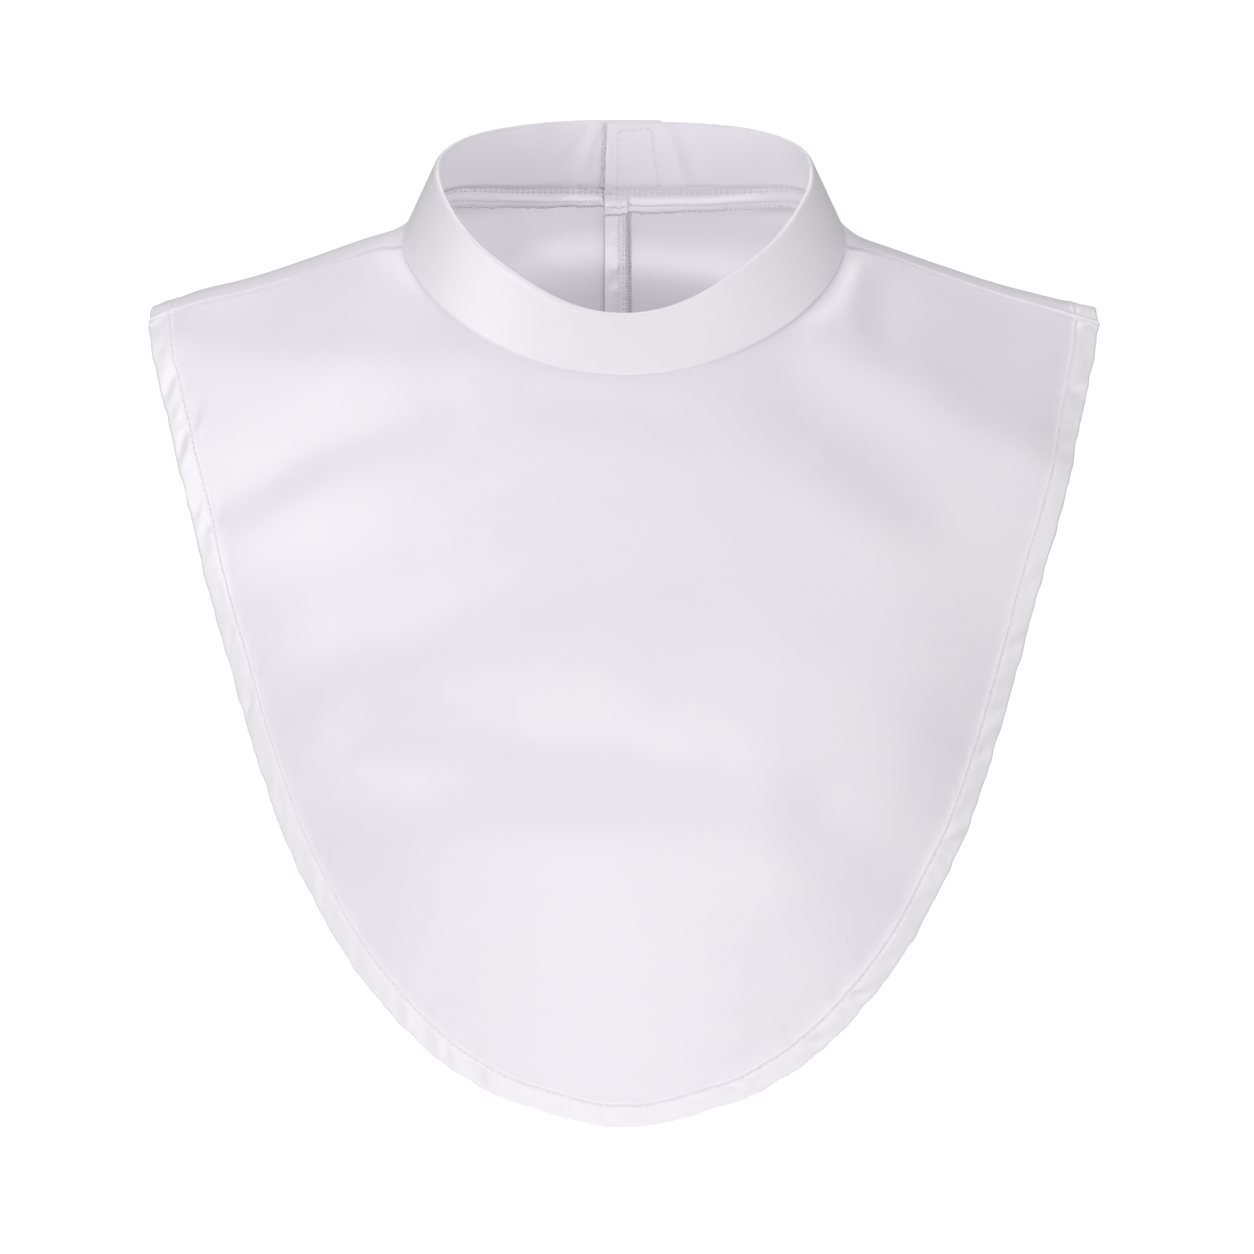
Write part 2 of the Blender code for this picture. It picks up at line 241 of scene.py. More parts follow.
def figure(places):
    """Points on the figure at places on the cloth, between the points of a net of cuts."""
    i = np.clip(abs(places[..., 0]) / NET_STEP, 0, len(NET_X) - 1.001)
    k = np.clip((places[..., 1] - NET_RUN[0]) / NET_STEP, 0, len(NET_RUN) - 1.001)
    i0, k0 = i.astype(int), k.astype(int)
    u, v = (i - i0)[..., None], (k - k0)[..., None]
    near = FIGURE_NET[i0, k0] * (1 - u) + FIGURE_NET[i0 + 1, k0] * u
    far = FIGURE_NET[i0, k0 + 1] * (1 - u) + FIGURE_NET[i0 + 1, k0 + 1] * u
    return np.concatenate([places[..., :1], near * (1 - v) + far * v], -1)


def figure_normal(places):
    """Ways out of the figure at places on the cloth."""
    steps = np.array([[STEP, 0], [0, STEP]])
    across, down = (figure(places + step) - figure(places - step) for step in steps)
    return unit(np.cross(across, down))


def ring_edge(turn, level):
    """Points of the collar ring before its ends are lapped: turn 0 in front and a quarter turn at +X, level
    0 at the neck seam and 1 at the top edge."""
    turn, level = np.broadcast_arrays(np.asarray(turn, float), np.asarray(level, float))
    c, s = np.cos(turn), np.sin(turn)
    power = np.where(c < 0, 2 / BACK_FULLNESS, 1)
    edges = []
    for k, height in enumerate(("seam_height", "top_height")):
        depth = np.where(c > 0, COLLAR["front"][k], COLLAR["back"][k])
        across = COLLAR["half_width"][k] * np.sign(s) * abs(s) ** power
        deep = -np.sign(c) * abs(c) ** power
        seam_depth = np.where(c > 0, COLLAR["front"][0], COLLAR["back"][0])
        heights = smooth(seam_depth * deep, COLLAR_SIDE["seam_y"], COLLAR_SIDE[height])
        edges.append(np.stack([across, depth * deep, heights], -1))
    return edges[0] + (edges[1] - edges[0]) * level[..., None]


def lap(turn):
    """Share of the lap at a turn round the neck: inwards on the left, outwards on the right."""
    across = np.where(abs(turn) > np.pi, 0, abs(ring_edge(turn, 0)[..., 0]))
    share = -np.sign(turn) * ease((LAP_STARTS - across) / (LAP_STARTS - LAP_FULL))
    return np.where(abs(turn) < np.pi / 2, 0, share)


def ring(turn, level, aside=0.0):
    """Points of the collar, moved outwards from the ring."""
    way = unit(ring_edge(turn + TURN_STEP, level) - ring_edge(turn - TURN_STEP, level))
    outwards = unit(np.stack([way[..., 1], -way[..., 0], np.zeros(way.shape[:-1])], -1))
    shift = np.broadcast_to(aside + lap(turn) * COLLAR_LAP, outwards.shape[:-1])
    return ring_edge(turn, level) + outwards * shift[..., None]


def seam_places(turns):
    """Where on the cloth the neck seam passes at each turn round the neck."""
    places = []
    for x, y, _ in ring_edge(turns, 0):
        runs, ys, _ = cut(x)
        near = abs(runs) < NECK_REACH
        places.append((x, np.interp(y, ys[near], runs[near])))
    return np.array(places)


def fold_height(places):
    """How far the soft folds lift the cloth: each is a ridge or trough from one place to another."""
    lift = 0
    for x1, run1, x2, run2, width, height in zip(*FOLDS.values()):
        start, way = np.array([x1, run1]), np.array([x2 - x1, run2 - run1])
        length = np.hypot(*way)
        offset = places - start
        along = offset @ way / length
        across = (offset[..., 0] * way[1] - offset[..., 1] * way[0]) / length
        across = across + FOLD_SWAY * width * wander(along, FOLD_SWAY_LENGTH, x1 / MM)
        past = np.maximum(np.maximum(-along, along - length), 0)
        uneven = 1 + FOLD_UNEVENNESS * wander(along, FOLD_UNEVENNESS_LENGTH, run1 / MM)
        lift = lift + height * uneven * bump(across, width) * bump(past, width)
    return lift


def lie(turns, seam, places, side):
    """Points of a panel and the ways out of it. side is its lap at the centre back: 1 is outside the other
    panel, -1 inside it, and 0 is for the front."""
    settle = bump(np.linalg.norm(places - seam[:, None], axis=-1), SETTLE)
    out = figure_normal(places)
    x = places[..., 0]
    lapped = side * ease((LAP_STARTS - abs(x)) / (LAP_STARTS - LAP_FULL)) * PANEL_LAP
    lapped = np.where(side * x > 0, side * PANEL_LAP, lapped)
    lift = (1 - settle) * (lapped + fold_height(places))
    moved = (ring(turns, 0.0) - figure(seam))[:, None]
    return figure(places) + out * lift[..., None] + settle[..., None] * moved, out


def smooth_path(points, steps=40):
    """Dense smooth path through points, level at its last one, which lies on the centre line."""
    points = np.array(points)
    ends = np.vstack([2 * points[0] - points[1], points, points[-2] * [-1, 1]])
    path = []
    for a, b, c, d in zip(ends[:-3], ends[1:-2], ends[2:-1], ends[3:]):
        for u in np.linspace(0, 1, steps, endpoint=False):
            bend, twist = 2 * a - 5 * b + 4 * c - d, 3 * b - a - 3 * c + d
            path.append(0.5 * (2 * b + (c - a) * u + bend * u**2 + twist * u**3))
    return np.vstack([path, points[-1]])


def along_path(path, shares):
    """Points at shares of a path's length, with the way that the path runs there."""
    lengths = np.concatenate([[0], np.cumsum(np.hypot(*np.diff(path, axis=0).T))])
    at = shares * lengths[-1]
    behind, point, ahead = [rows_at(at + step, lengths, *path.T) for step in (-STEP, 0, STEP)]
    return point, unit(ahead - behind)


def hem_line(places, inwards):
    """Places on the cloth that lie the hem's real width inwards from its edge."""
    stretch = np.linalg.norm(figure(places + inwards * STEP) - figure(places), axis=-1, keepdims=True) / STEP
    return places + inwards * HEM_WIDTH / stretch


def edge_path(edge, way):
    """Outer edge on the +X side, from the shoulder seam to the centre."""
    corner = (TIP_HALF_WIDTH, -SHOULDER_SEAM_AHEAD)
    return smooth_path([corner, *zip(edge["half_width"], way * edge["run"])])


def turn_ahead(ahead):
    """Turn round the neck at which the neck seam lies this far in front of the shoulder line."""
    turns = np.linspace(np.radians(60), np.radians(90), 200)
    return np.interp(-ahead, seam_places(turns)[:, 1], turns)


def distances(points):
    """Distance of each point along their row."""
    return np.concatenate([[0], np.cumsum(np.linalg.norm(np.diff(points, axis=0), axis=-1))])


# Rows down a column: shares of the way from the neck seam to the hem, then distances from the edge
BODY_SHARES = np.concatenate([np.linspace(0, 0.04, 9)[:-1], 0.04 + 0.96 * np.linspace(0, 1, 84) ** 1.08])
HEM_ROWS = np.array([9.7, 9.4, 9.05, 8.7, 8.4, 8.1, 7.7, 7.1, 6.3, 5.4, 4.4, 3.4, 2.4, 1.5, 0.8, 0.3]) * MM


def cloth_rows(seam, hem, edge):
    """Places on the cloth down each column, with their distances from the edge."""
    body = seam[:, None] + (hem - seam)[:, None] * BODY_SHARES[:, None]
    turned = edge[:, None] + (hem - edge)[:, None] * (HEM_ROWS / HEM_WIDTH)[:, None]
    body_from_edge = HEM_WIDTH + np.linalg.norm(body - hem[:, None], axis=-1)
    from_edge = np.concatenate([body_from_edge, np.tile(HEM_ROWS, (len(seam), 1))], 1)
    return np.concatenate([body, turned], 1), from_edge


PUCKER = 0.7 * MM
PUCKER_LENGTH = 21 * MM
PUCKER_SLANT = 0.75
PUCKER_EVEN, PUCKER_STRAY = 0.75, 0.45  # its even part, and the part that comes and goes
PUCKER_STRAY_LENGTH = 140 * MM
SMALL_PUCKER, SMALL_PUCKER_LENGTH = 0.5, 0.3  # as shares of the large ones
# Where across the hem the puckers stand up: distance from the edge, width and share
PUCKER_BANDS = ((4.4 * MM, 3.2 * MM, 1), (11.5 * MM, 3 * MM, 0.45))
HEM_RIDGE = 0.4 * MM
HEM_STEP = 1.6 * MM  # width over which the cloth steps up onto the turning
HEM_STEP_START = 0.9 * MM  # inside the turning's edge
HEM_WAVE = 0.3 * MM  # in and out along the edge
HEM_WAVE_LENGTH = 27 * MM
STITCH_DENT = 0.34 * MM
STITCH_DENT_WIDTH = 0.7 * MM
STITCH_DENT_EVEN, STITCH_DENT_STRAY = 0.8, 0.3
STITCH_DENT_LENGTH = 13 * MM  # from one deep stretch to the next
FRONT_SEAM_RIDGE = 0.6 * MM  # of the turned allowances beside the shoulder seam
BACK_SEAM_RIDGE = 1.35 * MM
SEAM_RIDGE_PLACE = 1.6 * MM  # from the seam
SEAM_DENT = 0.6 * MM
SEAM_DENT_WIDTH = 0.6 * MM
END_STITCH = 5.5 * MM  # the topstitching at the centre back lies this far from its edge


def hem_relief(along, from_edge, stitch, seed):
    """How the sewn edge lifts the cloth: a step where the turning ends, a dent along the stitches, and
    slanted puckers that die out inside the panel."""
    turned = ease((HEM_WIDTH + HEM_STEP_START - from_edge) / HEM_STEP)
    depth = STITCH_DENT_EVEN + STITCH_DENT_STRAY * wander(along, STITCH_DENT_LENGTH, seed + 2)
    dent = bump(from_edge - stitch, STITCH_DENT_WIDTH) * depth
    puckers = wander(along + PUCKER_SLANT * from_edge, PUCKER_LENGTH, seed)
    puckers = puckers + SMALL_PUCKER * wander(along, SMALL_PUCKER_LENGTH * PUCKER_LENGTH, seed + 1)
    puckers = puckers * (PUCKER_EVEN + PUCKER_STRAY * wander(along, PUCKER_STRAY_LENGTH, seed + 3))
    reach = sum(share * bump(from_edge - place, wide) for place, wide, share in PUCKER_BANDS)
    return HEM_RIDGE * turned - STITCH_DENT * dent + PUCKER * puckers * reach


def new_object(name, data):
    """Object of this data, linked into the scene."""
    made = bpy.data.objects.new(name, data)
    bpy.context.collection.objects.link(made)
    return made


def cloth_piece(name, outer, inner, maps, material):
    """Closed thin piece of cloth from its two faces, each a net of points with the columns first. The
    last row is rounded over, and maps are its maps of places."""
    columns, rows = outer.shape[:2]
    outer_edge, inner_edge = outer[:, -1], inner[:, -1]
    middle, half = (outer_edge + inner_edge) / 2, (outer_edge - inner_edge) / 2
    outwards = unit(outer[:, -1] - outer[:, -2]) * np.linalg.norm(half, axis=-1, keepdims=True)
    rim = [middle + half * np.cos(a) + outwards * np.sin(a) for a in np.radians((45, 90, 135))]
    net = np.concatenate([outer, np.stack(rim, 1), inner[:, ::-1]], 1)
    loop = net.shape[1]
    c, p = np.meshgrid(np.arange(columns - 1), np.arange(loop), indexing="ij")
    after = (p + 1) % loop
    faces = np.stack([c * loop + p, (c + 1) * loop + p, (c + 1) * loop + after, c * loop + after], -1)
    faces = faces.reshape(-1, 4).tolist()
    for first, flip in ((0, 1), ((columns - 1) * loop, -1)):
        for r in range(rows - 1):
            corners = (r, r + 1, loop - 2 - r, loop - 1 - r)
            faces.append([first + k for k in corners][::flip])
        faces.append([first + k for k in range(rows - 1, rows + 4)][::flip])
    data = bpy.data.meshes.new(name)
    data.from_pydata(net.reshape(-1, 3).tolist(), [], faces)
    corner_points = np.empty(len(data.loops), int)
    data.loops.foreach_get("vertex_index", corner_points)
    for map_name, places in maps.items():
        rim_places = np.repeat(places[:, -1:], 3, 1)
        whole = np.concatenate([places, rim_places, places[:, ::-1]], 1).reshape(-1, 2)
        whole = whole[corner_points].astype(np.float32)
        data.uv_layers.new(name=map_name).uv.foreach_set("vector", whole.ravel())
    mesh = bmesh.new()
    mesh.from_mesh(data)
    bmesh.ops.recalc_face_normals(mesh, faces=mesh.faces)
    mesh.to_mesh(data)
    mesh.free()
    data.shade_smooth()
    data.set_sharp_from_angle(angle=np.radians(50))
    data.materials.append(material)
    return new_object(name, data)


def new_material(name):
    """Material with its nodes and its surface."""
    material = bpy.data.materials.new(name)
    material.use_nodes = True
    return material, material.node_tree, material.node_tree.nodes["Principled BSDF"]


def set_inputs(node, values):
    for socket, value in values.items():
        node.inputs[socket].default_value = value


def node_group(name, tree_kind, inputs, outputs):
    """Empty node group with its sockets by kind, and its own nodes for what goes in and out."""
    group = bpy.data.node_groups.new(name, tree_kind)
    for way, sockets in (("INPUT", inputs), ("OUTPUT", outputs)):
        for socket, kind in sockets.items():
            group.interface.new_socket(socket, in_out=way, socket_type="NodeSocket" + kind)
    return group, group.nodes.new("NodeGroupInput"), group.nodes.new("NodeGroupOutput")


def maths(tree, operation, *values):
    """Maths node whose inputs are numbers or other nodes' outputs."""
    node = tree.nodes.new("ShaderNodeMath")
    node.operation = operation
    for socket, value in zip(node.inputs, values):
        if isinstance(value, (int, float)):
            socket.default_value = value
        else:
            tree.links.new(value, socket)
    return node.outputs[0]


def noise(tree, vector, scale, detail):
    """Soft noise between 0 and 1."""
    node = tree.nodes.new("ShaderNodeTexNoise")
    set_inputs(node, {"Scale": scale, "Detail": detail})
    tree.links.new(vector, node.inputs["Vector"])
    return node.outputs["Fac"]


def blend(tree, share, *colours):
    """Colour between two, each a value or another node's output. share is another node's output too."""
    mix = tree.nodes.new("ShaderNodeMix")
    mix.data_type = "RGBA"
    for socket, colour in zip(mix.inputs[6:8], colours):
        if isinstance(colour, tuple):
            socket.default_value = (*colour, 1)
        else:
            tree.links.new(colour, socket)
    tree.links.new(share, mix.inputs[0])
    return mix.outputs[2]


def raise_surface(tree, shader, height, strength, distance):
    """Fine relief on a surface, from another node's output."""
    relief = tree.nodes.new("ShaderNodeBump")
    set_inputs(relief, {"Strength": strength, "Distance": distance})
    tree.links.new(height, relief.inputs["Height"])
    tree.links.new(relief.outputs[0], shader.inputs["Normal"])


def twill_group():
    """The weave: fine slanted ribs over the crossing threads, a little uneven, with slubs."""
    group, inside, outside = node_group(
        "fine_twill",
        "ShaderNodeTree",
        {"Place": "Vector", "Thread": "Float"},
        {"Height": "Float", "Tone": "Float"},
    )
    split = group.nodes.new("ShaderNodeSeparateXYZ")
    group.links.new(inside.outputs["Place"], split.inputs[0])
    turn = maths(group, "DIVIDE", 2 * np.pi, inside.outputs["Thread"])
    x, y = (maths(group, "MULTIPLY", split.outputs[k], turn) for k in (0, 1))
    rib = maths(group, "SINE", maths(group, "ADD", x, maths(group, "MULTIPLY", y, 0.5)))
    warp = maths(group, "SINE", maths(group, "MULTIPLY", x, 2.0))
    slub = noise(group, inside.outputs["Place"], 900, 1.0)
    height = maths(group, "ADD", maths(group, "MULTIPLY", rib, 0.6), maths(group, "MULTIPLY", warp, 0.25))
    height = maths(group, "ADD", height, maths(group, "MULTIPLY", slub, 0.5))
    cloudy = noise(group, inside.outputs["Place"], 26, 3.0)
    tone = maths(group, "ADD", cloudy, maths(group, "MULTIPLY", slub, 0.4))
    group.links.new(height, outside.inputs["Height"])
    group.links.new(tone, outside.inputs["Tone"])
    return group


fine_twill = twill_group()


TWILL_THREAD = 0.32 * MM
LAYER_FADE = 0.6 * MM  # either side of the turning's edge


def cloth_material(name, deep, light, layered):
    """White cloth. deep and light are the two ends of its own soft tone, and layered is the colour
    where it lies in several layers, by its distance from the edge."""
    material, tree, shader = new_material(name)
    place = tree.nodes.new("ShaderNodeUVMap")
    place.uv_map = "cloth"
    weave = tree.nodes.new("ShaderNodeGroup")
    weave.node_tree = fine_twill
    weave.inputs["Thread"].default_value = TWILL_THREAD
    tree.links.new(place.outputs[0], weave.inputs["Place"])
    tone = blend(tree, weave.outputs["Tone"], deep, light)
    edge = tree.nodes.new("ShaderNodeUVMap")
    edge.uv_map = "edge"
    split = tree.nodes.new("ShaderNodeSeparateXYZ")
    tree.links.new(edge.outputs[0], split.inputs[0])
    inside = tree.nodes.new("ShaderNodeMapRange")
    inside.interpolation_type = "SMOOTHSTEP"
    set_inputs(inside, {"From Min": HEM_WIDTH + LAYER_FADE, "From Max": HEM_WIDTH - LAYER_FADE})
    tree.links.new(split.outputs[1], inside.inputs[0])
    tree.links.new(blend(tree, inside.outputs[0], tone, layered), shader.inputs["Base Color"])
    rough = maths(tree, "MULTIPLY_ADD", weave.outputs["Tone"], 0.08, 0.32)
    tree.links.new(rough, shader.inputs["Roughness"])
    set_inputs(shader, {"Sheen Weight": 0.1, "Sheen Roughness": 0.4, "Specular IOR Level": 0.85})
    raise_surface(tree, shader, weave.outputs["Height"], 0.25, 0.06 * MM)
    return material


white_twill = cloth_material("white_twill", (0.805, 0.785, 0.84), (0.84, 0.82, 0.865), (0.885, 0.87, 0.91))


def panel(name, turns, seam, hem, edge, side, seed, from_end=None):
    """Panel of the bib: its piece, its nets of points outside and inside, and the ways out. from_end is
    each column's distance from a turned edge at the centre back."""
    edge = edge + unit(edge - hem) * HEM_WAVE * wander(distances(edge), HEM_WAVE_LENGTH, seed + 7)[:, None]
    places, from_edge = cloth_rows(seam, hem, edge)
    points, out = lie(turns, seam, places, side)
    along = distances(points[:, -1])
    relief = hem_relief(along[:, None], from_edge, HEM_STITCH, seed)
    if from_end is not None:
        down = places[..., 1] - seam[:, None, 1]
        end_relief = hem_relief(down, from_end[:, None], END_STITCH, seed + 5)
        relief += end_relief * ease(from_edge / (2 * HEM_WIDTH))
        from_edge = np.minimum(from_edge, from_end[:, None])
    across = distances(points[:, len(BODY_SHARES)])
    to_seams = (across, across[-1] - across) if from_end is None else (across,)
    for to_seam in to_seams:
        ridge = FRONT_SEAM_RIDGE if from_end is None else BACK_SEAM_RIDGE
        dent = SEAM_DENT * bump(to_seam, SEAM_DENT_WIDTH)
        relief += (ridge * bump(to_seam - SEAM_RIDGE_PLACE, MM) - dent)[:, None]
    thick = CLOTH + (HEM_CLOTH - CLOTH) * (from_edge < HEM_WIDTH)
    shell_out = points + out * relief[..., None]
    shell_in = points + out * (np.maximum(relief, 0) - thick)[..., None]
    edge_map = np.stack([np.broadcast_to(along[:, None], from_edge.shape), from_edge], -1)
    piece = cloth_piece(name, shell_out, shell_in, {"cloth": places, "edge": edge_map}, white_twill)
    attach(piece, "root")
    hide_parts(name)
    return piece, shell_out, shell_in, out


# Columns this far from the shoulder seam, along edges of about these lengths, and even ones beyond
SEAM_COLUMNS = np.array([0.1, 0.4, 0.8, 1.3, 2, 3, 4.5]) * MM
FRONT_EDGE_LENGTH = 440 * MM
BACK_EDGE_LENGTH = 330 * MM
FRONT_COLUMNS = 186  # even ones on each half, up to this share of its edge:
FRONT_EVEN_END = 0.985
BACK_COLUMNS = 130
BACK_EVEN_START = 0.013
seam_turn = turn_ahead(SHOULDER_SEAM_AHEAD + SEAM_GAP / 2)
front_path = edge_path(FRONT_EDGE, -1)
by_the_seam = 1 - SEAM_COLUMNS[::-1] / FRONT_EDGE_LENGTH
half_shares = np.concatenate([np.linspace(0, FRONT_EVEN_END, FRONT_COLUMNS), by_the_seam])
half_edge, half_way = along_path(front_path, 1 - half_shares)
half_hem = hem_line(half_edge, np.stack([half_way[:, 1], -half_way[:, 0]], -1))
seam_edge = np.array([[TIP_HALF_WIDTH, -SHOULDER_SEAM_AHEAD - SEAM_GAP / 2]])
half_edge = np.vstack([half_edge, seam_edge])
half_hem = np.vstack([half_hem, hem_line(seam_edge, np.array([[-1, 0]]))])
half_turns = np.append(half_shares, 1) * seam_turn
front_turns = np.concatenate([-half_turns[:0:-1], half_turns])
front_hem = np.vstack([half_hem[:0:-1] * [-1, 1], half_hem])
front_edge = np.vstack([half_edge[:0:-1] * [-1, 1], half_edge])
front_seam = seam_places(front_turns)
front, front_out, front_in, front_ways = panel(
    "front_panel", front_turns, front_seam, front_hem, front_edge, side=0, seed=0.4
)


# BACK PANELS. Two pieces of the same twill that run over the shoulders and end below the shoulder blades.
# Each is hemmed as the front is. Their centre edges are overlocked, turned in once and topstitched, and
# the left one lies inside the right one.
BACK_EDGE = table(
    ("run", "half_width"),
    (0, 181.5),
    (35, 180),
    (80, 173),
    (130, 160),
    (175, 143),
    (215, 118),
    (245, 84),
    (262, 44),
    (267, 0),
)
LEFT_REACH = 8 * MM
RIGHT_REACH = 17 * MM
# Columns this far from the centre edge
END_COLUMNS = MM * np.array(
    [10.9, 10.4, 10.0, 9.6, 8.6, 7.4, 6.5, 6.0, 5.5, 5.0, 4.4, 3.4, 2.4, 1.5, 0.8, 0.3, 0]
)
END_COLUMNS_START = 1 * MM  # before the first of them


def turn_at(x):
    """Turn round the neck at which the neck seam has this x behind, past the centre back too."""
    return np.pi - np.arcsin(np.sign(x) * abs(x / COLLAR["half_width"][0]) ** (BACK_FULLNESS / 2))


def back_panel(name, side, reach, seed):
    """Left (side 1) or right (side -1) back panel, from the shoulder seam to its centre edge, and the turns
    round the neck of its columns."""
    half = edge_path(BACK_EDGE, 1)
    path = np.vstack([half, half[-2::-1] * [-1, 1]])
    lengths = distances(path)
    last_x = END_COLUMNS[0] + END_COLUMNS_START - reach
    last_turn = turn_at(last_x)
    last_share = np.interp(-last_x, -path[:, 0], lengths) / lengths[-1]
    first_turn = turn_ahead(SHOULDER_SEAM_AHEAD - SEAM_GAP / 2)
    even = np.linspace(BACK_EVEN_START, 1, BACK_COLUMNS)
    fan = np.concatenate([SEAM_COLUMNS[:-1] / BACK_EDGE_LENGTH, even])
    fan_edge, way = along_path(path, fan * last_share)
    fan_hem = hem_line(fan_edge, np.stack([-way[:, 1], way[:, 0]], -1))
    seam_edge = np.array([[TIP_HALF_WIDTH, SEAM_GAP / 2 - SHOULDER_SEAM_AHEAD]])
    seam_hem = hem_line(seam_edge, np.array([[-1, 0]]))
    end_shares = np.interp(reach - END_COLUMNS, -path[:, 0], lengths) / lengths[-1]
    end_edge = along_path(path, end_shares)[0]
    end_hem = hem_line(end_edge, np.array([[0, -1]]))
    fan_turns = first_turn + (last_turn - first_turn) * fan
    turns = np.concatenate([[first_turn], fan_turns, turn_at(END_COLUMNS - reach)]) * side
    mirror = [side, 1]
    edge = np.vstack([seam_edge, fan_edge, end_edge]) * mirror
    hem = np.vstack([seam_hem, fan_hem, end_hem]) * mirror
    from_end = np.concatenate([np.full(len(fan) + 1, FAR_FROM_EDGE), END_COLUMNS])
    return *panel(name, turns, seam_places(turns), hem, edge, -side, seed, from_end), turns


left_back, left_out, left_in, left_ways, left_turns = back_panel("back_panel_left", 1, LEFT_REACH, seed=2.1)
right_back, right_out, right_in, right_ways, right_turns = back_panel(
    "back_panel_right", -1, RIGHT_REACH, seed=3.3
)


# TOPSTITCHING. Single rows of white polyester thread, about four stitches to the centimetre, that hold
# the hems and the turned centre edges. The thread lies in a dent that it pulls into the cloth.
STITCH_PITCH = 2.5 * MM
STITCH_LENGTH = 2.0 * MM
THREAD = 0.42 * MM
# Dots of painted shade at the needle holes, this big:
HOLE_SIZE = (1.8, 1.3, 0.8)  # along, across and high, in threads


def thread_material(name, dark, light):
    """Twisted thread with a soft sheen."""
    material, tree, shader = new_material(name)
    place = tree.nodes.new("ShaderNodeTexCoord")
    twist = noise(tree, place.outputs["Object"], 2600, 1.0)
    tree.links.new(blend(tree, twist, dark, light), shader.inputs["Base Color"])
    tree.links.new(maths(tree, "MULTIPLY_ADD", twist, 0.25, 0.45), shader.inputs["Roughness"])
    raise_surface(tree, shader, twist, 0.5, 0.08 * MM)
    shader.inputs["Sheen Weight"].default_value = 0.3
    return material


thread = thread_material("sewing_thread", (0.80, 0.80, 0.84), (0.93, 0.93, 0.95))
# Where the needle went in, the cloth is drawn down into the shade, painted here as dark dots of painted
# shade between the stitches
needle_hole_shade = thread_material("needle_hole_shade", (0.50, 0.49, 0.55), (0.62, 0.61, 0.67))


def stitch_tree():
    """Stitches along paths: each is a short rounded length of thread, turned with its path, and between them
    dark dots of painted shade at the needle holes.
    """
    numbers = dict.fromkeys(("Pitch", "Length", "Thickness", "Slant", "Unevenness"), "Float")
    tree, given, made = node_group(
        "stitch_row",
        "GeometryNodeTree",
        {"Paths": "Geometry", **numbers, "Thread": "Material", "Hole_Shade": "Material"},
        {"Stitches": "Geometry"},
    )

    def add(kind, **settings):
        node = tree.nodes.new(kind)
        for name, value in settings.items():
            setattr(node, name, value)
        return node

    def join(start, end):
        tree.links.new(start, end)

    curves, spaced = add("GeometryNodeMeshToCurve"), add("GeometryNodeResampleCurve", mode="LENGTH")
    join(given.outputs["Paths"], curves.inputs[0])
    join(curves.outputs[0], spaced.inputs["Curve"])
    join(given.outputs["Pitch"], spaced.inputs["Length"])
    stitch = add("GeometryNodeMeshUVSphere")
    set_inputs(stitch, {"Segments": 8, "Rings": 5, "Radius": 0.5})
    soft = add("GeometryNodeSetShadeSmooth")
    join(stitch.outputs["Mesh"], soft.inputs["Geometry"])
    outward = add("GeometryNodeInputNamedAttribute", data_type="FLOAT_VECTOR")
    outward.inputs["Name"].default_value = "out"
    along = add("FunctionNodeAlignRotationToVector", axis="X")
    join(add("GeometryNodeInputTangent").outputs[0], along.inputs["Vector"])
    upright = add("FunctionNodeAlignRotationToVector", axis="Z", pivot_axis="X")
    join(along.outputs[0], upright.inputs["Rotation"])
    join(outward.outputs[0], upright.inputs["Vector"])
    wobble = add("FunctionNodeRandomValue", data_type="FLOAT")
    join(maths(tree, "MULTIPLY", given.outputs["Unevenness"], -1), wobble.inputs[2])
    join(given.outputs["Unevenness"], wobble.inputs[3])
    wobble.inputs["Seed"].default_value = 7
    yaw = maths(tree, "ADD", given.outputs["Slant"], wobble.outputs[1])
    angles = add("ShaderNodeCombineXYZ")
    join(yaw, angles.inputs[2])
    turn = add("FunctionNodeEulerToRotation")
    join(angles.outputs[0], turn.inputs[0])
    turned = add("FunctionNodeRotateRotation", rotation_space="LOCAL")
    join(upright.outputs[0], turned.inputs[0])
    join(turn.outputs[0], turned.inputs[1])
    size = add("ShaderNodeCombineXYZ")
    join(given.outputs["Length"], size.inputs[0])
    join(given.outputs["Thickness"], size.inputs[1])
    join(given.outputs["Thickness"], size.inputs[2])
    # Dots of painted shade where the needle went in, half a stitch ahead of each stitch
    dot = add("ShaderNodeVectorMath", operation="MULTIPLY")
    dot.inputs[0].default_value = HOLE_SIZE
    join(given.outputs["Thickness"], dot.inputs[1])
    ahead = maths(tree, "MULTIPLY", given.outputs["Pitch"], 0.5)
    beside = add("ShaderNodeCombineXYZ")
    join(ahead, beside.inputs[0])
    kinds = add("GeometryNodeJoinGeometry")
    for scale, rotation, material in ((size, turned, "Thread"), (dot, upright, "Hole_Shade")):
        placed = add("GeometryNodeInstanceOnPoints")
        join(spaced.outputs[0], placed.inputs["Points"])
        join(soft.outputs[0], placed.inputs["Instance"])
        join(rotation.outputs[0], placed.inputs["Rotation"])
        join(scale.outputs[0], placed.inputs["Scale"])
        moved = placed
        if material == "Hole_Shade":
            moved = add("GeometryNodeTranslateInstances")
            join(placed.outputs[0], moved.inputs["Instances"])
            join(beside.outputs[0], moved.inputs["Translation"])
        real = add("GeometryNodeRealizeInstances")
        join(moved.outputs[0], real.inputs[0])
        finish = add("GeometryNodeSetMaterial")
        join(real.outputs[0], finish.inputs["Geometry"])
        join(given.outputs[material], finish.inputs["Material"])
        join(finish.outputs[0], kinds.inputs[0])
    join(kinds.outputs[0], made.inputs[0])
    return tree


stitch_row = stitch_tree()


